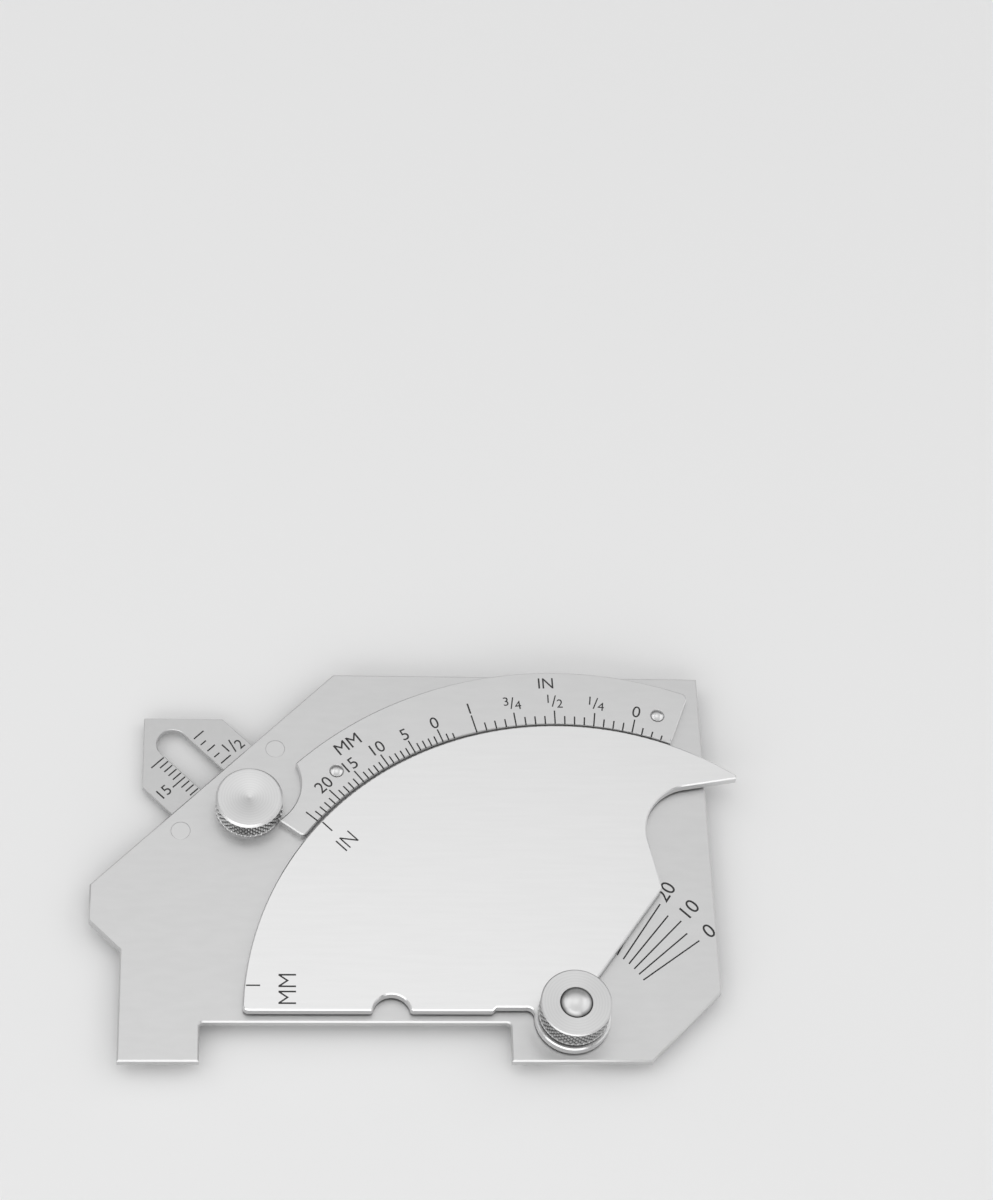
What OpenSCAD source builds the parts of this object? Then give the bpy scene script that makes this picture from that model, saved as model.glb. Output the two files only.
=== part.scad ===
// Bridge weld gauge with a turning cam and a 45 degree depth slide.
// Millimetres. It lies on its back with the scales up, pivot axis on the origin.

/* [Main plate] */
// Width from the left edge to the right edge
plate_w = 100; // [96:1:110]
// Thickness of the plate
plate_t = 1.5; // [1.2:0.1:2]
// Left foot, distance in from the left edge
left_foot_x = 5.1; // [3:0.1:8]
// Left foot width
left_foot_w = 12.6; // [9:0.1:16]
// Right foot, distance in from the left edge
right_foot_x = 66.2; // [62:0.1:68]
// Right foot width
right_foot_w = 22.1; // [20:0.1:25]
// Height of the gap between the feet
bridge_h = 6.5; // [5:0.1:7]
// Fillet in the two corners of that gap
bridge_r = 0.6; // [0.3:0.1:1.5]
// Lower end of the straight left edge, above the feet
left_edge_lo = 23.8; // [20:0.1:26]
// Upper end of the straight left edge, where the 45 degree edge starts
left_edge_hi = 30.1; // [28:0.1:32]

/* [Pivot] */
// Pivot, distance from the left edge
pivot_x = 75.9; // [74:0.1:78]
// Pivot, height above the feet
pivot_y = 7.1; // [6.5:0.1:8]
// Stud radius
stud_r = 2.45; // [2:0.05:2.8]
// Radius of the flat stud head on the back
head_r = 6; // [5.5:0.1:6.5]
// Height of the polished dome on the stud's end
dome_h = 1.1; // [0.6:0.1:1.6]
// Running clearance on the stud and the screw
fit_gap = 0.05; // [0.03:0.01:0.08]
// Washer radius
washer_r = 5.2; // [4.5:0.1:5.8]
// Washer thickness
washer_t = 0.4; // [0.2:0.1:0.5]

/* [Lock nut] */
// Nut radius over the knurl
nut_r = 5.6; // [5.2:0.05:5.8]
// Nut height
nut_h = 4.4; // [4:0.1:6]
// Chamfer on both ends of the knurl
nut_edge = 0.2; // [0.15:0.05:0.4]
// Radius of the plain collar under the knurl
collar_r = 4.9; // [4.4:0.1:5.2]
// Height of the plain collar
collar_h = 0.5; // [0.3:0.1:0.8]
// Chamfer at the top of the bore
bore_edge = 0.1; // [0.05:0.05:0.3]

/* [Cam] */
// Radius of the cam's arc and of its pointer tip
cam_r = 51.6; // [50:0.1:52.2]
// Thickness of the cam
cam_t = 1.6; // [1.2:0.1:2]
// Direction of the pointer tip as it lies
tip_deg = 55.3; // [50:0.1:58]
// Blunt end of the pointer tip, in from the arc
tip_flat = 0.5; // [0.2:0.05:0.7]
// Slope of the pointer's lower side
pointer_slope = 10; // [8:0.1:12]
// Radius of the round lobe about the pivot
lobe_r = 6.05; // [5.9:0.05:6.6]
// Lower edge, height above the pivot
cam_low = 0.55; // [0.4:0.05:1.2]
// Step up in the lower edge beside the lobe
cam_step = 0.6; // [0.4:0.05:1]
// Step, distance from the pivot
step_x = 12; // [10:0.1:14]
// Notch in the lower edge, distance from the pivot
notch_x = 28.4; // [24:0.1:34]
// Notch radius
notch_r = 3; // [2:0.1:3.5]
// Direction of the straight angle edge
edge_deg = 54.2; // [52:0.1:56]
// Length of the angle edge from the pivot
edge_len = 26.8; // [24:0.1:29]
// Lean of the edge between the angle edge and the pointer
bay_deg = 101.2; // [98:0.1:105]
// Fillet under the pointer
bay_r = 8.4; // [6:0.1:9]
// Direction of the millimetre index mark
mm_index = 180; // [175:0.1:182]
// Direction of the inch index mark
inch_index = 135; // [133:0.1:141]

/* [Scale plate] */
// Gap between the cam's arc and the scale plate
arc_gap = 0.5; // [0.3:0.05:0.6]
// Width of the scale plate's band, whose outer side is level with the top edge
scale_w = 9.8; // [9:0.1:11.5]
// Thickness of the scale plate
scale_t = 1.6; // [1.4:0.1:2]
// Right end of the scale plate
scale_end = 69; // [67:0.1:70]
// Left end of the scale plate
scale_start = 143.6; // [142:0.1:145]
// Radius of the hollow beside the thumb screw
hollow_r = 8.2; // [7.5:0.1:8.6]
// Middle of the hollow, distance outward from the screw along the slide
hollow_x = 2.6; // [2:0.1:3]
// Middle of the hollow, distance across from the screw
hollow_y = 2.8; // [2:0.1:3]
// Clearance round the thumb screw's head
knob_gap = 0.4; // [0.35:0.05:0.8]
// Corner radius
scale_round_r = 1; // [0.5:0.1:1.5]
// Direction of the millimetre zero
mm_zero = 111.5; // [110:0.1:112]
// Direction of the inch zero
inch_zero = 76.3; // [76:0.1:77]
// Rivet radius
scale_rivet_r = 1; // [0.8:0.05:1.2]
// Height of the rivet's low dome
scale_rivet_h = 0.35; // [0.2:0.05:0.6]
// Direction of the left rivet
scale_rivet_a = 130.5; // [129:0.1:132]
// Direction of the right rivet
scale_rivet_b = 72.7; // [72:0.1:74]

/* [Angle lines] */
// Direction of the zero line
line_zero = 36; // [34:0.1:38]
// Distance by which the lines pass the pivot
line_off = 1.45; // [1:0.05:2]
// Inner end of the lines
line_in = 13.4; // [12:0.1:15]
// Outer end of the long lines
line_out = 25.1; // [23:0.1:26]

/* [Slide] */
// Slide width
slide_w = 18.1; // [16:0.1:18.4]
// Slide thickness
slide_t = 1; // [0.8:0.1:1.4]
// Slide length
slide_len = 45; // [43:0.5:48]
// Reading of the slide as it lies
slide_rest = 11.1; // [8:0.1:12]
// Slot width
slot_w = 5.2; // [5:0.1:5.6]
// Start of the slot from the tip
slot_in = 4.05; // [3:0.05:5]
// End of the slot from the tip
slot_out = 39.2; // [38.6:0.1:40]
// Clearance above and below the slide
slide_gap = 0.05; // [0.03:0.01:0.1]

/* [Keeper] */
// Floor thickness behind the slide
keeper_t = 1; // [0.8:0.1:1.5]
// Keeper width across the slide
keeper_w = 35; // [32:0.1:38]
// Keeper length along the slide
keeper_len = 18; // [15:0.1:20]
// Keeper, distance in from the 45 degree edge
keeper_in = 0.5; // [0.4:0.1:1]
// Side clearance of the slide in the channel
side_gap = 0.1; // [0.05:0.01:0.2]
// Rivet head radius, flush with the plate's face
keeper_head_r = 1.55; // [1.3:0.05:1.7]
// Rivet shank radius
keeper_rivet_r = 1; // [0.8:0.05:1.1]
// Rivets, distance from the middle of the slide
keeper_rivet_y = 10.7; // [10.6:0.05:12]
// Rivets, distance in from the 45 degree edge
keeper_rivet_x = 3.25; // [3:0.05:4]

/* [Thumb screw] */
// Screw, distance in from the 45 degree edge
screw_in = 8; // [7.5:0.1:8.5]
// Screw radius below the head
screw_r = 2; // [1.6:0.05:2.1]
// Head radius over the knurl
knob_r = 5.4; // [5:0.05:5.7]
// Head height above the plate
knob_h = 3.8; // [3.2:0.1:4.5]
// Chamfer on the head
knob_edge = 0.35; // [0.2:0.05:0.6]

/* [Marks] */
// Width of the engraved marks
mark_w = 0.24; // [0.15:0.01:0.3]
// Depth of the engraved marks
mark_d = 0.08; // [0.05:0.01:0.12]
// Long mark length
mark_long = 2.2; // [1.8:0.1:2.6]
// Short mark length
mark_short = 1.2; // [0.8:0.1:1.5]

/* [Hidden] */
$fn = 96;

inch = 25.4;
corner_r = 1;
entry = 0.35;
index_in = 0.3;
lobe_fillet = 1.2;
edge_fillet = 2;
edge_off = 0.3;
peg_gap = 0.02;
slack = 0.02;
rivet_short = 0.1;

// heights of the stack, from the resting plane up
z_plate = keeper_t + slide_t + 2 * slide_gap;
z_face = z_plate + plate_t;
z_cam = z_face + washer_t;
z_cam_top = z_cam + cam_t;
z_nut = z_cam_top + slide_gap;
z_scale_top = z_face + scale_t;
z_slide = keeper_t + slide_gap;
z_slide_top = z_slide + slide_t;

// the scale plate's band, and the height from the feet to the top edge
scale_in = cam_r + arc_gap;
scale_out = scale_in + scale_w;
plate_h = pivot_y + scale_out;
rivet_ring = scale_in + 0.44 * scale_w;

// distances along the slide, from the point where both edges would meet
edge_d = (plate_h - left_edge_hi) / sqrt(2);
screw_d = edge_d + screw_in;

// pointer direction at reading zero, with the tip level with the feet
zero_deg = asin(-pivot_y / cam_r);

// turn of the pointer from zero to a reading
function turn(h) = asin((h - pivot_y) / cam_r) - zero_deg;

// a point at a radius and direction about the pivot
function polar(r, a) = [r * cos(a), r * sin(a)];

// moves from the plate's left edge and feet to the pivot axis
module on_plate() {
    translate([-pivot_x, -pivot_y, 0]) children();
}

// x runs inward along the slide, from the corner where both edges would meet
module on_slide() {
    translate([-pivot_x, plate_h - pivot_y, 0]) rotate([0, 0, -45]) children();
}

// piece between a corner and the round that replaces it, p to q past the corner
module round_piece(c, p, k, q, r) {
    difference() {
        polygon([c, p, k, q]);
        translate(c) circle(r + slack);
    }
}

// groove pointing away from the pivot
module ray(a, r0, r1, w) {
    rotate([0, 0, a]) translate([r0, -w / 2, 0]) cube([r1 - r0, w, 1]);
}

// places for the scale plate's two rivets
module at_scale_rivets() {
    for (a = [scale_rivet_a, scale_rivet_b]) {
        rotate([0, 0, a]) translate([rivet_ring, 0, 0]) children();
    }
}

// places for the keeper's two rivets
module at_keeper_rivets() {
    on_slide() {
        for (s = [-1, 1]) {
            translate([edge_d + keeper_rivet_x, s * keeper_rivet_y, 0]) children();
        }
    }
}

// flat outline of the main plate
module plate_shape() {
    top_x = plate_h - left_edge_hi;
    cham = plate_w - right_foot_x - right_foot_w;
    gap_l = left_foot_x + left_foot_w;
    difference() {
        polygon([
            [left_foot_x, 0],
            [right_foot_x + right_foot_w, 0],
            [plate_w, cham],
            [plate_w, plate_h],
            [top_x, plate_h],
            [0, left_edge_hi],
            [0, left_edge_lo],
            [left_foot_x, left_edge_lo - left_foot_x]
        ]);
        difference() {
            translate([gap_l, -1]) square([right_foot_x - gap_l, bridge_h + 1]);
            for (x = [gap_l + bridge_r, right_foot_x - bridge_r]) {
                side = x < plate_w / 2 ? -bridge_r - 1 : 0;
                difference() {
                    translate([x + side, bridge_h - bridge_r]) square([bridge_r + 1, bridge_r + 1]);
                    translate([x, bridge_h - bridge_r]) circle(bridge_r);
                }
            }
        }
    }
}

// angle lines, from 0 to 60 in fives
module angle_marks() {
    for (i = [0 : 12]) {
        last = i % 2 == 0 ? line_out : line_out - 0.8;
        rotate([0, 0, line_zero + 5 * i]) {
            translate([line_in, -line_off - mark_w / 2, z_face - mark_d]) {
                cube([last - line_in, mark_w, 1]);
            }
        }
    }
}

module main_plate() {
    color([0.72, 0.73, 0.74]) {
        difference() {
            translate([0, 0, z_plate]) linear_extrude(plate_t) on_plate() plate_shape();
            translate([0, 0, z_plate - 1]) cylinder(h = plate_t + 2, r = stud_r + peg_gap);
            on_slide() translate([screw_d, 0, z_plate - 1]) {
                cylinder(h = plate_t + 2, r = screw_r + 0.35);
            }
            at_scale_rivets() translate([0, 0, z_plate - 1]) {
                cylinder(h = plate_t + 2, r = scale_rivet_r + peg_gap);
            }
            at_keeper_rivets() translate([0, 0, z_plate - 1]) {
                cylinder(h = plate_t + 2, r = keeper_head_r + peg_gap);
            }
            angle_marks();
        }
    }
}

// flat outline of the scale plate
module scale_shape() {
    mid_a = (scale_start + scale_end) / 2;
    far = 1.4 * scale_out;
    // round at the right outer corner
    ro = scale_out - scale_round_r;
    ra = scale_end + asin(scale_round_r / ro);
    rc = polar(ro, ra);
    // round at the left inner corner
    li = scale_in + scale_round_r;
    la = scale_start - asin(scale_round_r / li);
    lc = polar(li, la);
    difference() {
        intersection() {
            difference() {
                circle(scale_out);
                circle(scale_in);
            }
            polygon([[0, 0], polar(far, scale_end), polar(far, mid_a), polar(far, scale_start)]);
        }
        translate([-pivot_x, scale_out]) rotate(-45) translate([screw_d, 0]) {
            translate([-hollow_x, hollow_y]) circle(hollow_r);
            circle(knob_r + knob_gap);
        }
        round_piece(rc, polar(scale_out + 1, ra), polar(scale_out + 2, scale_end - 1),
                    rc + polar(2 * scale_round_r, scale_end - 90), scale_round_r);
        round_piece(lc, polar(scale_in - 1, la), polar(scale_in - 2, scale_start + 1),
                    lc + polar(2 * scale_round_r, scale_start + 90), scale_round_r);
    }
}

// marks of both scales, spaced by the height of the pointer tip
module scale_marks() {
    r0 = scale_in + 0.3;
    for (h = [-2 : 25]) {
        size = h < 0 ? mark_short + 0.25 * h : h % 5 == 0 ? mark_long : mark_short;
        ray(mm_zero + turn(h), r0, r0 + size, mark_w);
    }
    for (k = [-4 : 16]) {
        whole = k % 4 == 0 ? mark_long : mark_short;
        size = k < 0 ? mark_short + 0.2 * k : k == 16 ? mark_long + 0.8 : whole;
        ray(inch_zero + turn(inch * k / 16), r0, r0 + size, mark_w);
    }
}

module scale_plate() {
    color([0.75, 0.76, 0.77]) {
        difference() {
            translate([0, 0, z_face]) linear_extrude(scale_t) scale_shape();
            at_scale_rivets() translate([0, 0, z_face - 1]) {
                cylinder(h = scale_t + 2, r = scale_rivet_r + peg_gap);
            }
            translate([0, 0, z_scale_top - mark_d]) scale_marks();
        }
    }
}

module scale_rivets() {
    dome_r = (scale_rivet_r * scale_rivet_r + scale_rivet_h * scale_rivet_h) / (2 * scale_rivet_h);
    color([0.8, 0.81, 0.82]) {
        at_scale_rivets() {
            translate([0, 0, z_plate]) cylinder(h = plate_t + scale_t, r = scale_rivet_r);
            intersection() {
                translate([0, 0, z_scale_top + scale_rivet_h - dome_r]) sphere(dome_r);
                translate([0, 0, z_scale_top - 0.2]) cylinder(h = 2, r = scale_rivet_r);
            }
        }
    }
}

// flat outline of the cam, pivot on the origin
module cam_shape() {
    along = polar(1, edge_deg);
    out = polar(1, edge_deg - 90);
    start = -edge_off * out;
    knee = edge_len * along + start;
    tip = polar(cam_r - tip_flat, tip_deg);
    // where the bay's edge would meet the pointer's lower side
    da = polar(1, bay_deg);
    db = polar(1, pointer_slope + 180);
    gap = tip - knee;
    det = da[1] * db[0] - da[0] * db[1];
    run = (gap[1] * db[0] - gap[0] * db[1]) / det;
    bay = knee + run * da;
    tan_len = bay_r * tan((bay_deg - pointer_slope) / 2);
    on_a = bay - tan_len * da;
    on_b = bay - tan_len * db;
    bay_c = on_a + bay_r * polar(1, bay_deg - 90);
    // rounds on the lower edge
    foot_c = [-sqrt(pow(cam_r - corner_r, 2) - pow(cam_low + corner_r, 2)), cam_low + corner_r];
    foot_u = foot_c / norm(foot_c);
    notch_y = cam_low - 0.25;
    low2 = cam_low + cam_step;
    lobe_y = low2 - lobe_fillet;
    lobe_c = [-sqrt(pow(lobe_r + lobe_fillet, 2) - pow(lobe_y, 2)), lobe_y];
    // round between the lobe and the angle edge
    side = edge_fillet - edge_off;
    edge_c = sqrt(pow(lobe_r + edge_fillet, 2) - side * side) * along + side * out;
    wide = cam_r + 3;
    difference() {
        union() {
            intersection() {
                circle(cam_r, $fn = 240);
                difference() {
                    polygon([
                        [-wide, cam_low],
                        [-step_x - 0.6, cam_low],
                        [-step_x, low2],
                        [lobe_c[0], low2],
                        lobe_c,
                        [0, 0],
                        edge_c,
                        edge_c - edge_fillet * out,
                        knee,
                        on_a,
                        bay_c,
                        on_b,
                        tip,
                        [tip[0], wide],
                        [-wide, wide]
                    ]);
                    translate(lobe_c) circle(lobe_fillet + slack);
                    translate(edge_c) circle(edge_fillet + slack);
                    translate(bay_c) circle(bay_r + slack);
                }
            }
            circle(lobe_r);
        }
        translate([-notch_x, notch_y]) circle(notch_r);
        round_piece(foot_c, foot_c - [0, 2 * corner_r], [-wide, cam_low - corner_r],
                    foot_c + 2 * corner_r * foot_u, corner_r);
        translate([-notch_x, cam_low]) polygon([
            [-notch_r - 2 * entry, -entry],
            [notch_r + 2 * entry, -entry],
            [notch_r - 0.4 * entry, entry],
            [0.4 * entry - notch_r, entry]
        ]);
        circle(stud_r + fit_gap);
    }
}

// index mark on the cam, ending near the arc at a place about the pivot
module index_mark(a, lean) {
    translate(polar(cam_r - index_in, a)) rotate([0, 0, lean]) {
        translate([-mark_long, -mark_w / 2, 0]) cube([mark_long, mark_w, 1]);
    }
}

module cam() {
    color([0.84, 0.85, 0.86]) {
        difference() {
            translate([0, 0, z_cam]) linear_extrude(cam_t) cam_shape();
            translate([0, 0, z_cam_top - mark_d]) {
                index_mark(mm_zero + tip_deg - zero_deg, mm_index);
                index_mark(inch_zero + tip_deg - zero_deg, inch_index);
            }
        }
    }
}

module cam_washer() {
    color([0.6, 0.6, 0.6]) {
        difference() {
            translate([0, 0, z_face]) cylinder(h = washer_t, r = washer_r);
            translate([0, 0, z_face - 1]) cylinder(h = washer_t + 2, r = stud_r + peg_gap);
        }
    }
}

module pivot_stud() {
    z_end = z_nut + nut_h;
    ball_r = (stud_r * stud_r + dome_h * dome_h) / (2 * dome_h);
    color([0.82, 0.83, 0.84]) {
        cylinder(h = z_plate, r = head_r);
        translate([0, 0, z_plate / 2]) cylinder(h = z_end - z_plate / 2, r = stud_r);
        intersection() {
            translate([0, 0, z_end + dome_h - ball_r]) sphere(ball_r);
            translate([0, 0, z_end - 0.2]) cylinder(h = dome_h + 1, r = stud_r);
        }
    }
}

module lock_nut() {
    color([0.76, 0.77, 0.78]) {
        translate([0, 0, z_nut]) rotate_extrude() polygon([
            [stud_r + fit_gap, 0],
            [collar_r, 0],
            [collar_r, collar_h],
            [nut_r - nut_edge, collar_h],
            [nut_r, collar_h + nut_edge],
            [nut_r, nut_h - nut_edge],
            [nut_r - nut_edge, nut_h],
            [stud_r + fit_gap + bore_edge, nut_h],
            [stud_r + fit_gap, nut_h - bore_edge]
        ]);
    }
}

// flat outline of the slide, tip at its place along the slide
module slide_shape() {
    half = slide_w / 2;
    difference() {
        translate([slide_rest, 0]) polygon([
            [0, 0],
            [half, -half],
            [slide_len, -half],
            [slide_len, half],
            [half, half]
        ]);
        translate([slide_rest + slot_in + slot_w / 2, 0]) circle(slot_w / 2);
        translate([slide_rest + slot_out - slot_w / 2, 0]) circle(slot_w / 2);
        translate([slide_rest + slot_in + slot_w / 2, -slot_w / 2]) {
            square([slot_out - slot_in - slot_w, slot_w]);
        }
    }
}

// depth scales either side of the slot, zero on the 45 degree edge
module slide_marks() {
    near = slot_w / 2 + 0.2;
    zero = slide_rest + edge_d - mark_w / 2;
    for (n = [0 : 20]) {
        size = n % 5 == 0 ? mark_long + 0.6 : mark_short + 0.6;
        translate([zero - n, -near - size, 0]) cube([mark_w, size, 1]);
    }
    for (k = [0 : 12]) {
        size = k % 4 == 0 ? mark_long : k % 2 == 0 ? mark_short + 0.5 : mark_short;
        translate([zero - inch * k / 16, near + 0.3, 0]) cube([mark_w, size, 1]);
    }
}

module slide() {
    color([0.74, 0.75, 0.76]) {
        on_slide() difference() {
            translate([0, 0, z_slide]) linear_extrude(slide_t) slide_shape();
            translate([0, 0, z_slide_top - mark_d]) slide_marks();
        }
    }
}

module slide_keeper() {
    channel = slide_w + 2 * side_gap;
    color([0.68, 0.69, 0.7]) {
        difference() {
            on_slide() difference() {
                translate([edge_d + keeper_in, -keeper_w / 2, 0]) cube([keeper_len, keeper_w, z_plate]);
                translate([edge_d - 1, -channel / 2, keeper_t]) cube([keeper_len + 4, channel, z_plate]);
                translate([screw_d, 0, -1]) cylinder(h = keeper_t + 2, r = screw_r + fit_gap);
            }
            at_keeper_rivets() translate([0, 0, -1]) {
                cylinder(h = z_plate + 2, r = keeper_rivet_r + peg_gap);
            }
        }
    }
}

module keeper_rivets() {
    color([0.74, 0.75, 0.76]) {
        at_keeper_rivets() {
            translate([0, 0, rivet_short]) cylinder(h = z_plate, r = keeper_rivet_r);
            translate([0, 0, z_plate]) cylinder(h = plate_t, r = keeper_head_r);
        }
    }
}

module thumb_screw() {
    foot = z_face + slide_gap;
    color([0.8, 0.81, 0.82]) {
        on_slide() translate([screw_d, 0, 0]) rotate_extrude() polygon([
            [0, rivet_short],
            [screw_r - 0.2, rivet_short],
            [screw_r, rivet_short + 0.2],
            [screw_r, foot],
            [knob_r - knob_edge, foot],
            [knob_r, foot + knob_edge],
            [knob_r, foot + knob_h - knob_edge],
            [knob_r - knob_edge, foot + knob_h],
            [0, foot + knob_h]
        ]);
    }
}

main_plate();
scale_plate();
scale_rivets();
cam();
cam_washer();
pivot_stud();
lock_nut();
slide();
slide_keeper();
keeper_rivets();
thumb_screw();
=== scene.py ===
import bpy
import math
from mathutils import Matrix, Vector


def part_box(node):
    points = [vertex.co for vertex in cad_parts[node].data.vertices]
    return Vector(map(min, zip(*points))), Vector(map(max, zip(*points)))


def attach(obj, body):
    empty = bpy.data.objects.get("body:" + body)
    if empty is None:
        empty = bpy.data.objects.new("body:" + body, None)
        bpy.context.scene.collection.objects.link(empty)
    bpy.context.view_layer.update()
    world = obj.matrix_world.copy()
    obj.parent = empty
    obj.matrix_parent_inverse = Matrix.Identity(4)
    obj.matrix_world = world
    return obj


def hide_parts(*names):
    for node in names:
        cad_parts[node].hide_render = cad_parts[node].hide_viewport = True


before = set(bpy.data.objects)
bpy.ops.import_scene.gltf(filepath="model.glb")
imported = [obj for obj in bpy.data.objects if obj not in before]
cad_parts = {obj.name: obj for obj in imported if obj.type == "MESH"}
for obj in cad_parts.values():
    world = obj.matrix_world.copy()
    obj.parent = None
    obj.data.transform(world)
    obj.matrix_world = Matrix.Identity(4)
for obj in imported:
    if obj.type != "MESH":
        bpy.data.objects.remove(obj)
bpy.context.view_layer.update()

# sizes in millimetres and degrees; places and heights come from the solids

MM = 0.001
INCH = 25.4

# the cam's arc, its tip at rest, and where the two arc scales read zero
CAM_R = 51.6
TIP_DEG = 55.3
MM_ZERO = 111.5
INCH_ZERO = 76.3

# the first angle line on the plate, and the step to the next
LINE_DEG = 36.0
LINE_STEP = 10

# along the slide: the plate's sloping edge, and the slide's reading at rest
EDGE_D = 27.506
SLIDE_REST = 11.1
SLIDE_TURN = 45

# engraved marks, and the arc scale's inner edge
MARK_W = 0.24
MARK_D = 0.08
MARK_SLACK = 0.005
MARK_AREA = 4e-6
SCALE_IN = CAM_R + 0.5

# width of the eased edges on the front, and at most on the back
PLATE_EASE = 0.25
SCALE_EASE = 0.2
CAM_EASE = 0.2
KEEPER_EASE = 0.15
SLIDE_EASE = 0.1
THIN_EASE = 0.03
BACK_EASE = 0.06

# flush rivets: in from the sloping edge, out from the slide's middle, and the crisp ground round each
RIVET_IN = 3.25
RIVET_OUT = 10.7
RIVET_GROUND = 2

# points closer than this, in metres, are one
MERGE = 0.000002


def box(node):
    """Low and high corner of a solid, in millimetres."""
    low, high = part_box(node)
    return low / MM, high / MM


PLATE_LOW, PLATE_HIGH = box("main_plate")
NUT_LOW, NUT_HIGH = box("lock_nut")
SCREW_LOW, SCREW_HIGH = box("thumb_screw")
SCREW = (SCREW_LOW + SCREW_HIGH) / 2
Z_FACE = PLATE_HIGH.z
Z_SCALE = box("scale_plate")[1].z
Z_CAM = box("cam")[1].z
Z_SLIDE = box("slide")[1].z
ZERO_DEG = math.degrees(math.asin(PLATE_LOW.y / CAM_R))


def turn(reading):
    """Turn of the pointer from zero to a reading in millimetres."""
    return math.degrees(math.asin((reading + PLATE_LOW.y) / CAM_R)) - ZERO_DEG


def polar(radius, degrees):
    """A point about the pivot."""
    a = math.radians(degrees)
    return radius * math.cos(a), radius * math.sin(a)


def on_slide(along, across):
    """A point on the slide: along it from the plate's missing corner, across it to the right."""
    h = math.sqrt(0.5)
    return PLATE_LOW.x + (along + across) * h, PLATE_HIGH.y + (across - along) * h


def none_selected():
    """Clears the selection."""
    bpy.ops.object.select_all(action="DESELECT")


def alone(obj):
    """Selects one object only."""
    none_selected()
    obj.select_set(True)
    bpy.context.view_layer.objects.active = obj


def join(objs, name):
    """Joins pieces into one."""
    alone(objs[0])
    for o in objs:
        o.select_set(True)
    bpy.ops.object.join()
    objs[0].name = name
    return objs[0]


def place(obj, body, slot, *nodes):
    """Puts a finished piece on its body, in place of its solids."""
    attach(obj, body)
    if nodes:
        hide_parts(*nodes)


# materials

METAL = 1.0
NOT_METAL = 0.0
# tone of the painted shade ring at the foot of the stud's dome
SHADE_RING_TONE = 0.08
KNURL_ROUGH = 0.28


def plain(name, tone, rough, metal):
    """One even colour."""
    m = bpy.data.materials.new(name)
    m.use_nodes = True
    shader = m.node_tree.nodes["Principled BSDF"]
    shader.inputs["Base Color"].default_value = (tone, tone, tone, 1)
    shader.inputs["Roughness"].default_value = rough
    shader.inputs["Metallic"].default_value = metal
    return m


def ramp(m, low, high, start=0.0, end=1.0):
    """A grey ramp that feeds the base colour of a material."""
    nodes, links = m.node_tree.nodes, m.node_tree.links
    r = nodes.new("ShaderNodeValToRGB")
    r.color_ramp.elements[0].position = start
    r.color_ramp.elements[0].color = (low, low, low, 1)
    r.color_ramp.elements[1].position = end
    r.color_ramp.elements[1].color = (high, high, high, 1)
    links.new(r.outputs["Color"], nodes["Principled BSDF"].inputs["Base Color"])
    return r


def own_place(m, centre=(0, 0, 0), size=(1, 1, 1)):
    """The object's own coordinates, moved to a centre and scaled."""
    nodes, links = m.node_tree.nodes, m.node_tree.links
    coords = nodes.new("ShaderNodeTexCoord")
    mapping = nodes.new("ShaderNodeMapping")
    mapping.inputs["Location"].default_value = [-c * MM * s for c, s in zip(centre, size)]
    mapping.inputs["Scale"].default_value = size
    links.new(coords.outputs["Object"], mapping.inputs["Vector"])
    return mapping


def satin(name, tone, rough, grain, vary):
    """Satin sheet metal with a faint grain, drawn out along its small scale."""
    m = plain(name, tone, rough, METAL)
    nodes, links = m.node_tree.nodes, m.node_tree.links
    mapping = own_place(m, size=grain)
    noise = nodes.new("ShaderNodeTexNoise")
    noise.inputs["Scale"].default_value = 900
    noise.inputs["Detail"].default_value = 4
    links.new(mapping.outputs["Vector"], noise.inputs["Vector"])
    r = ramp(m, tone * (1 - vary), tone * (1 + vary), start=0.3, end=0.7)
    links.new(noise.outputs["Fac"], r.inputs["Fac"])
    return m


def turned(name, tone, rough, centre):
    """Lathe-turned metal: rings about a centre, with the gloss drawn out round the axis."""
    m = plain(name, tone, rough, METAL)
    nodes, links = m.node_tree.nodes, m.node_tree.links
    shader = nodes["Principled BSDF"]
    shader.inputs["Anisotropic"].default_value = 0.55
    tangent = nodes.new("ShaderNodeTangent")
    tangent.direction_type = "RADIAL"
    tangent.axis = "Z"
    links.new(tangent.outputs["Tangent"], shader.inputs["Tangent"])
    mapping = own_place(m, centre=(centre[0], centre[1], 0))
    rings = nodes.new("ShaderNodeTexWave")
    rings.wave_type = "RINGS"
    rings.rings_direction = "Z"
    rings.inputs["Scale"].default_value = 700
    rings.inputs["Distortion"].default_value = 1.5
    rings.inputs["Detail"].default_value = 2
    links.new(mapping.outputs["Vector"], rings.inputs["Vector"])
    r = ramp(m, low=tone * 0.965, high=tone * 1.02)
    links.new(rings.outputs["Fac"], r.inputs["Fac"])
    return m


def domed(name, tone, rough, foot, reach):
    """Polished metal with a painted shade ring at its foot, standing in for the dark gap round the
    dome, gone at a reach above and below it.
    """
    m = plain(name, tone, rough, METAL)
    nodes, links = m.node_tree.nodes, m.node_tree.links
    mapping = own_place(m)
    parts = nodes.new("ShaderNodeSeparateXYZ")
    links.new(mapping.outputs["Vector"], parts.inputs["Vector"])
    level = nodes.new("ShaderNodeMapRange")
    level.inputs["From Min"].default_value = (foot - reach) * MM
    level.inputs["From Max"].default_value = (foot + reach) * MM
    links.new(parts.outputs["Z"], level.inputs["Value"])
    r = ramp(m, tone, tone)
    ring = r.color_ramp.elements.new(0.5)
    ring.color = (SHADE_RING_TONE, SHADE_RING_TONE, SHADE_RING_TONE, 1)
    links.new(level.outputs["Result"], r.inputs["Fac"])
    return m


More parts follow.
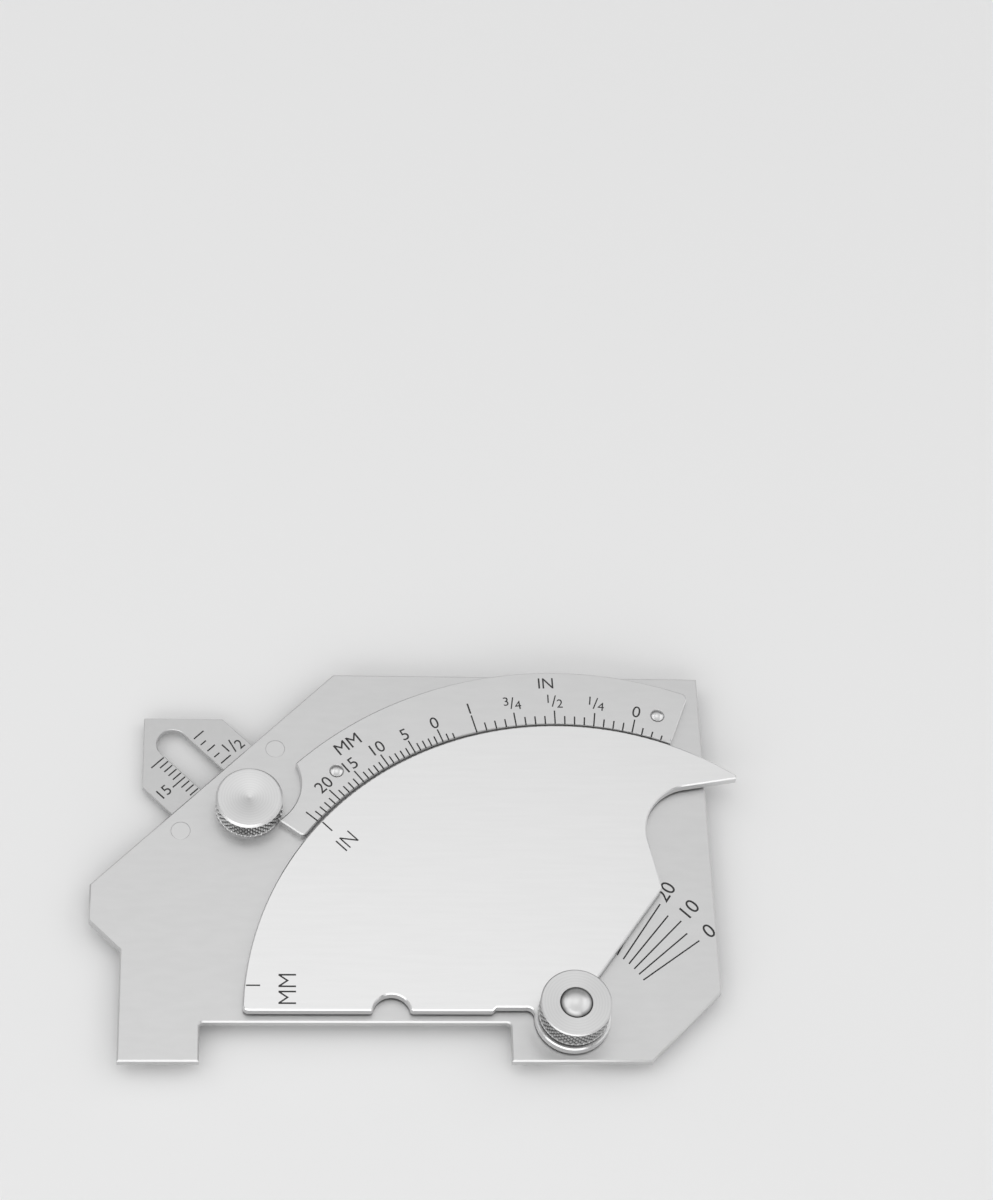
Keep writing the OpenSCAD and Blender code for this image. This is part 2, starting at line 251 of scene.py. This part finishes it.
def knurl_metal(name, groove, ridge):
    """Knurled metal with painted shade down in the grooves, darkest at the groove floor."""
    m = plain(name, ridge, KNURL_ROUGH, METAL)
    nodes, links = m.node_tree.nodes, m.node_tree.links
    depth = nodes.new("ShaderNodeAttribute")
    depth.attribute_name = "ridge"
    r = ramp(m, groove, ridge, start=0.1, end=0.85)
    links.new(depth.outputs["Fac"], r.inputs["Fac"])
    return m


# tone and roughness of each, then the grain and how much it varies
PLATE = satin("plate_satin", 0.63, 0.4, (0.3, 1, 1), 0.015)
SCALE = satin("scale_satin", 0.65, 0.4, (0.3, 1, 1), 0.015)
CAM = satin("cam_satin", 0.73, 0.3, (0.12, 1.5, 1), 0.012)
# the slide's tone is set below the plate's as painted shade, for the shade it lies in a step below
# the plate
SLIDE = satin("slide_satin_painted_shade", 0.58, 0.42, (1, 1, 1), 0.015)
KEEPER = satin("keeper_milled", 0.6, 0.4, (0.2, 1, 1), 0.03)
RIVET = plain("rivet_smooth", 0.635, 0.38, METAL)
DOME = plain("rivet_polished", 0.72, 0.3, METAL)
WASHER = plain("washer_plain", 0.5, 0.4, METAL)
# the stud's dome gets a painted shade ring at its foot, where it meets the nut
POLISHED = domed("stud_polished_painted_shade", 0.74, 0.4, foot=NUT_HIGH.z, reach=0.5)
# painted shade in the knurl grooves: the groove tone at the floor, the ridge tone on the crests
KNURL = knurl_metal("knurl_painted_groove_shade", groove=0.03, ridge=0.6)
NUT_KNURL = knurl_metal("nut_knurl_painted_groove_shade", groove=0.02, ridge=0.5)
NUT_TOP = turned("nut_turned", 0.66, 0.42, (0, 0))
SCREW_TOP = turned("screw_turned", 0.69, 0.4, (SCREW.x, SCREW.y))
INK = plain("mark_ink", 0.02, 0.6, NOT_METAL)


# pieces taken from the solids

FLAT = 0.98
UPRIGHT = 0.3
LOW_WALL = 0.5
FLAT_DEG = 0.5
SHEET_DEG = 40
DOME_DEG = 35
FRONT, BACK = 1, -1


def copy_of(node, name, material):
    """A merged copy of a solid with its flat faces whole."""
    obj = bpy.data.objects.new(name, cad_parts[node].data.copy())
    bpy.context.scene.collection.objects.link(obj)
    obj.data.materials.clear()
    obj.data.materials.append(material)
    alone(obj)
    bpy.ops.object.mode_set(mode="EDIT")
    bpy.ops.mesh.select_all(action="SELECT")
    bpy.ops.mesh.remove_doubles(threshold=MERGE)
    bpy.ops.mesh.dissolve_limited(angle_limit=math.radians(FLAT_DEG))
    bpy.ops.mesh.customdata_custom_splitnormals_clear()
    bpy.ops.mesh.normals_make_consistent(inside=False)
    bpy.ops.object.mode_set(mode="OBJECT")
    for p in obj.data.polygons:
        p.material_index = 0
    return obj


def ink_marks(obj, top):
    """Gives the engraved grooves below a face their dark filling."""
    obj.data.materials.append(INK)
    for p in obj.data.polygons:
        depth = top - p.center.z / MM
        if MARK_SLACK < depth < MARK_D + MARK_SLACK and p.area < MARK_AREA:
            p.material_index = 1


def ease_edges(obj, side, width, crisp):
    """Bevels the edges where the front or the back meets a wall.

    The low walls of the marks and the edges near the crisp points stay sharp.
    """
    alone(obj)
    bpy.ops.object.mode_set(mode="EDIT")
    bpy.ops.mesh.select_mode(type="EDGE")
    bpy.ops.mesh.select_all(action="DESELECT")
    bpy.ops.object.mode_set(mode="OBJECT")
    mesh = obj.data
    beside = {}
    for p in mesh.polygons:
        for key in p.edge_keys:
            beside.setdefault(key, []).append(p)
    for e in mesh.edges:
        faces = beside.get(tuple(sorted(e.vertices)), [])
        flat = [f for f in faces if f.normal.z * side > FLAT]
        wall = [f for f in faces if abs(f.normal.z) < UPRIGHT]
        if len(faces) == 2 and flat and wall:
            heights = [mesh.vertices[v].co.z for v in wall[0].vertices]
            end = mesh.vertices[e.vertices[0]].co.xy / MM
            near = any((end - Vector(c)).length < RIVET_GROUND for c in crisp)
            e.select = max(heights) - min(heights) > LOW_WALL * MM and not near
    bpy.ops.object.mode_set(mode="EDIT")
    bpy.ops.mesh.bevel(
        offset=width * MM, segments=1, affect="EDGES", clamp_overlap=False, loop_slide=False
    )
    bpy.ops.object.mode_set(mode="OBJECT")


def smooth(obj, degrees):
    """Smooth shading with the large flats kept flat."""
    alone(obj)
    bpy.ops.object.shade_smooth_by_angle(angle=math.radians(degrees))
    bpy.ops.object.modifier_add(type="WEIGHTED_NORMAL")
    obj.modifiers[-1].keep_sharp = True
    bpy.ops.object.modifier_apply(modifier=obj.modifiers[-1].name)


def sheet_piece(node, name, material, slot, body, width, top=None, crisp=()):
    """A flat piece with eased edges, and dark marks where its top face has any."""
    obj = copy_of(node, name, material)
    if top:
        ink_marks(obj, top)
    ease_edges(obj, FRONT, width, crisp)
    ease_edges(obj, BACK, min(width, BACK_EASE), crisp)
    smooth(obj, SHEET_DEG)
    place(obj, body, slot, node)


flush = [on_slide(EDGE_D + RIVET_IN, side * RIVET_OUT) for side in (-1, 1)]
sheet_piece("main_plate", "plate", PLATE, "plate_steel", "frame_body", PLATE_EASE, Z_FACE, flush)
sheet_piece("scale_plate", "arc_scale", SCALE, "scale_steel", "frame_body", SCALE_EASE, Z_SCALE)
sheet_piece("cam", "cam_plate", CAM, "cam_steel", "cam_body", CAM_EASE, Z_CAM)
sheet_piece("slide", "depth_slide", SLIDE, "slide_steel", "slide_body", SLIDE_EASE, Z_SLIDE)
sheet_piece("slide_keeper", "keeper", KEEPER, "keeper_steel", "frame_body", KEEPER_EASE)
sheet_piece("cam_washer", "washer", WASHER, "washer_steel", "frame_body", THIN_EASE)
sheet_piece("keeper_rivets", "flush_rivets", RIVET, "rivet_steel", "frame_body", THIN_EASE)

for node, name, material, slot in (
    ("scale_rivets", "dome_rivets", DOME, "rivet_steel"),
    ("pivot_stud", "stud", POLISHED, "stud_steel"),
):
    piece = copy_of(node, name, material)
    smooth(piece, DOME_DEG)
    place(piece, "frame_body", slot, node)


# knurled pieces

KNURL_COUNT = 38
KNURL_DEPTH = 0.34
KNURL_PITCH = 1.2
KNURL_CREST = 1.4
KNURL_COLUMNS = 8
KNURL_DEG = 28
TOP_BAND = 0.5
UPWARD = 0.5


def knurl_band(radius, low, high, steps):
    """Rows of a knurled band, with plain ends."""
    rows = []
    for i in range(steps + 1):
        height = low + (high - low) * i / steps
        rows.append((radius, height, 0 < i < steps))
    return rows


def plain_rows(*rows):
    """Rows of radius and height without a knurl."""
    return [(radius, height, False) for radius, height in rows]


def knurled(name, centre, profile):
    """A turned piece from rows of radius, height and knurl, with a diamond knurl cut in."""
    columns = KNURL_COUNT * KNURL_COLUMNS
    rows = len(profile) - 1
    none_selected()
    bpy.ops.mesh.primitive_grid_add(x_subdivisions=columns, y_subdivisions=rows, size=2)
    obj = bpy.context.object
    obj.name = name
    # ridge height of each point, which also sets the painted shade in the grooves
    shade = obj.data.attributes.new("ridge", "FLOAT", "POINT")
    for v in obj.data.vertices:
        u = (v.co.x + 1) / 2
        radius, height, cut = profile[round((v.co.y + 1) / 2 * rows)]
        ridge = 1.0
        if cut:
            a = (KNURL_COUNT * u + height / KNURL_PITCH) % 1.0
            b = (KNURL_COUNT * u - height / KNURL_PITCH) % 1.0
            ridge = min(1.0, KNURL_CREST * min(1 - abs(2 * a - 1), 1 - abs(2 * b - 1)))
            radius -= KNURL_DEPTH * (1 - ridge)
        shade.data[v.index].value = ridge
        x, y = polar(radius, 360 * u)
        v.co = Vector((centre[0] + x, centre[1] + y, height)) * MM
    alone(obj)
    bpy.ops.object.mode_set(mode="EDIT")
    bpy.ops.mesh.select_all(action="SELECT")
    bpy.ops.mesh.remove_doubles(threshold=2 * MERGE)
    bpy.ops.mesh.normals_make_consistent(inside=False)
    bpy.ops.object.mode_set(mode="OBJECT")
    bpy.ops.object.shade_smooth_by_angle(angle=math.radians(KNURL_DEG))
    return obj


def two_metals(obj, side, top, level):
    """Knurled metal round the side, turned metal on the top face."""
    obj.data.materials.append(side)
    obj.data.materials.append(top)
    for p in obj.data.polygons:
        p.material_index = int(p.normal.z > UPWARD and p.center.z > (level - TOP_BAND) * MM)


# lock nut: a plain collar below, the knurl, and a bored top
bore_r, bore_ease = 2.5, 0.1
collar_r, collar_h = 4.9, 0.5
nut_ease, nut_steps = 0.2, 28
nut_r, low, high = NUT_HIGH.x, NUT_LOW.z, NUT_HIGH.z
collar_top = low + collar_h
nut = knurled(
    "nut",
    (0, 0),
    plain_rows(
        (bore_r, low),
        (collar_r, low),
        (collar_r, collar_top),
        (nut_r - nut_ease, collar_top),
    )
    + knurl_band(nut_r, collar_top + nut_ease, high - nut_ease, nut_steps)
    + plain_rows(
        (nut_r - nut_ease, high),
        (bore_r + bore_ease, high),
        (bore_r, high - bore_ease),
        (bore_r, low),
    ),
)
two_metals(nut, NUT_KNURL, NUT_TOP, high)
place(nut, "nut_body", "nut_steel", "lock_nut")

# thumb screw: a shank, the knurled knob just clear of the plate, and a centre mark on its top
shank_r, shank_ease = 2.0, 0.2
knob_ease, knob_steps, knob_gap = 0.35, 26, 0.05
centre_r, centre_floor_r = 0.45, 0.25
centre_d, centre_floor_d = 0.1, 0.08
knob_r, low, high = SCREW_HIGH.x - SCREW.x, SCREW_LOW.z, SCREW_HIGH.z
foot = Z_FACE + knob_gap
thumb = knurled(
    "thumb",
    (SCREW.x, SCREW.y),
    plain_rows(
        (0, low),
        (shank_r - shank_ease, low),
        (shank_r, low + shank_ease),
        (shank_r, foot),
        (knob_r - knob_ease, foot),
    )
    + knurl_band(knob_r, foot + knob_ease, high - knob_ease, knob_steps)
    + plain_rows(
        (knob_r - knob_ease, high),
        (centre_r, high),
        (centre_floor_r, high - centre_floor_d),
        (0, high - centre_d),
    ),
)
two_metals(thumb, KNURL, SCREW_TOP, high)
place(thumb, "screw_body", "screw_steel", "thumb_screw")


# numbers and letters

# a capital's share of the letter size, and the parts of a fraction as shares of its height
CAPITAL = 0.7
FIGURE_OUT = 0.6
FIGURE_UP = 0.28
SLASH_TALL = 1.35

# the ink's height above a face, and the strokes at the scale's edge, out from that edge
INK_LIFT = 0.01
STROKE_START = 0.05
STROKE_END = 0.32


def number(body, point, degrees, height, level, wide=1.0, weight=0.0):
    """One number or word, its middle on the point and its reading direction turned by degrees."""
    none_selected()
    bpy.ops.object.text_add()
    obj = bpy.context.object
    obj.data.body = body
    obj.data.align_x = "CENTER"
    obj.data.align_y = "CENTER"
    obj.data.size = height / CAPITAL * MM
    obj.data.extrude = INK_LIFT * MM
    obj.data.offset = weight * height * MM
    bpy.ops.object.convert(target="MESH")
    obj = bpy.context.object
    obj.scale = (wide, 1, 1)
    obj.rotation_euler = (0, 0, math.radians(degrees))
    obj.location = (point[0] * MM, point[1] * MM, level * MM)
    alone(obj)
    bpy.ops.object.transform_apply(location=True, rotation=True, scale=True)
    return obj


def fraction(top, bottom, point, degrees, height, level):
    """A small fraction, its two figures either side of a sloping stroke."""
    middle = Vector(point)
    along = Vector(polar(FIGURE_OUT * height, degrees))
    up = Vector(polar(FIGURE_UP * height, degrees + 90))
    return [
        number(top, middle - along + up, degrees, height, level),
        number("/", middle, degrees, height * SLASH_TALL, level),
        number(bottom, middle + along - up, degrees, height, level),
    ]


def edge_stroke(degrees):
    """Carries a scale mark's ink on over the scale's eased inner edge."""
    none_selected()
    bpy.ops.mesh.primitive_grid_add(x_subdivisions=1, y_subdivisions=2, size=2)
    obj = bpy.context.object
    rows = [(STROKE_START, SCALE_EASE - STROKE_START), (SCALE_EASE, 0), (STROKE_END, 0)]
    for v in obj.data.vertices:
        outward, drop = rows[round(v.co.y) + 1]
        middle = Vector(polar(SCALE_IN + outward, degrees))
        x, y = middle + Vector(polar(v.co.x * MARK_W / 2, degrees - 90))
        v.co = Vector((x, y, Z_SCALE - drop + INK_LIFT)) * MM
    return obj


def on_scale(body, radius, degrees, height):
    """A number or word on the arc scale, standing on its inner edge."""
    return number(body, polar(radius, degrees), degrees - 90, height, Z_SCALE)


# arc scale: radius of each row of figures, then their height
mm_row, mm_height = 55.8, 2.1
one_row, one_height = 56.6, 2.0
zero_row, zero_height = 56.0, 2.1
part_row, part_height = 56.3, 1.6
marks = []
for reading in range(-2, 26):
    marks.append(edge_stroke(MM_ZERO + turn(reading)))
for sixteenths in range(-3, 17):
    marks.append(edge_stroke(INCH_ZERO + turn(INCH * sixteenths / 16)))
for reading in (0, 5, 10, 15, 20):
    marks.append(on_scale(str(reading), mm_row, MM_ZERO + turn(reading), mm_height))
marks.append(on_scale("1", one_row, INCH_ZERO + turn(INCH), one_height))
marks.append(on_scale("0", zero_row, INCH_ZERO, zero_height))
for top, bottom in (("1", "4"), ("1", "2"), ("3", "4")):
    a = INCH_ZERO + turn(INCH * int(top) / int(bottom))
    marks += fraction(top, bottom, polar(part_row, a), a - 90, part_height, Z_SCALE)
marks.append(on_scale("MM", radius=59.1, degrees=126, height=2.2))
marks.append(on_scale("IN", radius=59.7, degrees=91.6, height=2.0))
scale_numbers = join(marks, "scale_numbers")

# plate: a number at the end of each angle line, a little to one side of it
line_row, line_aside, line_height = 27.5, 2.4, 2.45
marks = []
for i in range(7):
    a = LINE_DEG + LINE_STEP * i
    marks.append(number(str(LINE_STEP * i), polar(line_row, a - line_aside), a, line_height, Z_FACE))
angle_numbers = join(marks, "angle_numbers")

# cam: a word by each index mark, drawn narrow and thin
thin = -0.016
marks = []
for body, zero, radius, degrees, height, wide in (
    ("MM", MM_ZERO, 44.7, 90, 2.9, 0.88),
    ("IN", INCH_ZERO, 46.0, 45, 2.6, 0.9),
):
    point = polar(radius, zero + TIP_DEG - ZERO_DEG)
    marks.append(number(body, point, degrees, height, Z_CAM, wide, thin))
cam_letters = join(marks, "cam_letters")

# slide: millimetres on the left and inches on the right, each a little past its mark
mm_across, mm_past = -7.3, 0.3
inch_across, inch_past = 6.7, 0.9
slide_height, slide_part_height = 1.9, 1.8
zero = SLIDE_REST + EDGE_D
marks = []
for reading in (0, 5, 10, 15):
    point = on_slide(zero - reading - mm_past, mm_across)
    marks.append(number(str(reading), point, SLIDE_TURN, slide_height, Z_SLIDE))
point = on_slide(zero - inch_past, inch_across)
marks.append(number("0", point, SLIDE_TURN, slide_height, Z_SLIDE))
for top, bottom in (("1", "4"), ("1", "2")):
    point = on_slide(zero - INCH * int(top) / int(bottom) - inch_past, inch_across)
    marks += fraction(top, bottom, point, SLIDE_TURN, slide_part_height, Z_SLIDE)
slide_numbers = join(marks, "slide_numbers")

for piece, body, slot in (
    (scale_numbers, "frame_body", "scale_steel"),
    (angle_numbers, "frame_body", "plate_steel"),
    (cam_letters, "cam_body", "cam_steel"),
    (slide_numbers, "slide_body", "slide_steel"),
):
    piece.data.materials.clear()
    piece.data.materials.append(INK)
    place(piece, body, slot)


# floor, light and camera, in metres and watts

none_selected()
bpy.ops.mesh.primitive_plane_add(size=6)
floor = bpy.context.object
floor.name = "floor"
floor.data.materials.append(plain("floor_pale", 0.82, 0.9, NOT_METAL))

world = bpy.data.worlds.new("studio")
bpy.context.scene.world = world
world.use_nodes = True
sky = world.node_tree.nodes["Background"]
sky.inputs["Color"].default_value = (1, 1, 1, 1)
sky.inputs["Strength"].default_value = 0.15

MIDDLE = Vector((-0.02, 0.028, 0.0))


def softbox(name, where, width, height, power):
    """A soft light that faces the gauge."""
    none_selected()
    bpy.ops.object.light_add(type="AREA", location=where)
    light = bpy.context.object
    light.name = name
    light.data.shape = "RECTANGLE"
    light.data.size = width
    light.data.size_y = height
    light.data.energy = power
    light.rotation_euler = (MIDDLE - Vector(where)).to_track_quat("-Z", "Y").to_euler()


softbox("overhead_light", (0.05, 0.3, 1.25), 3.0, 3.0, 17)
softbox("high_light", (-0.05, 0.3, 1.2), 0.8, 0.8, 1.0)
softbox("left_light", (-0.95, 0.25, 0.6), 1.2, 1.0, 3.0)
softbox("right_light", (0.95, 0.0, 0.45), 1.6, 1.0, 4.0)
softbox("front_light", (-0.3, -0.95, 0.5), 2.2, 0.7, 9.0)

none_selected()
bpy.ops.object.camera_add()
camera = bpy.context.object
eye = (-0.05673, -0.18828, 0.43561)
right = Vector((0.9955, -0.0364, 0.0874))
down = Vector((0.0147, -0.8528, -0.5220))
ahead = Vector((0.0935, 0.5209, -0.8485))
facing = Matrix((right, -down, -ahead)).transposed().to_4x4()
camera.matrix_world = Matrix.Translation(eye) @ facing
camera.data.sensor_width = 36
camera.data.lens = 89.84
camera.data.clip_start = 0.01
bpy.context.scene.camera = camera

bpy.context.scene.view_settings.view_transform = "Standard"
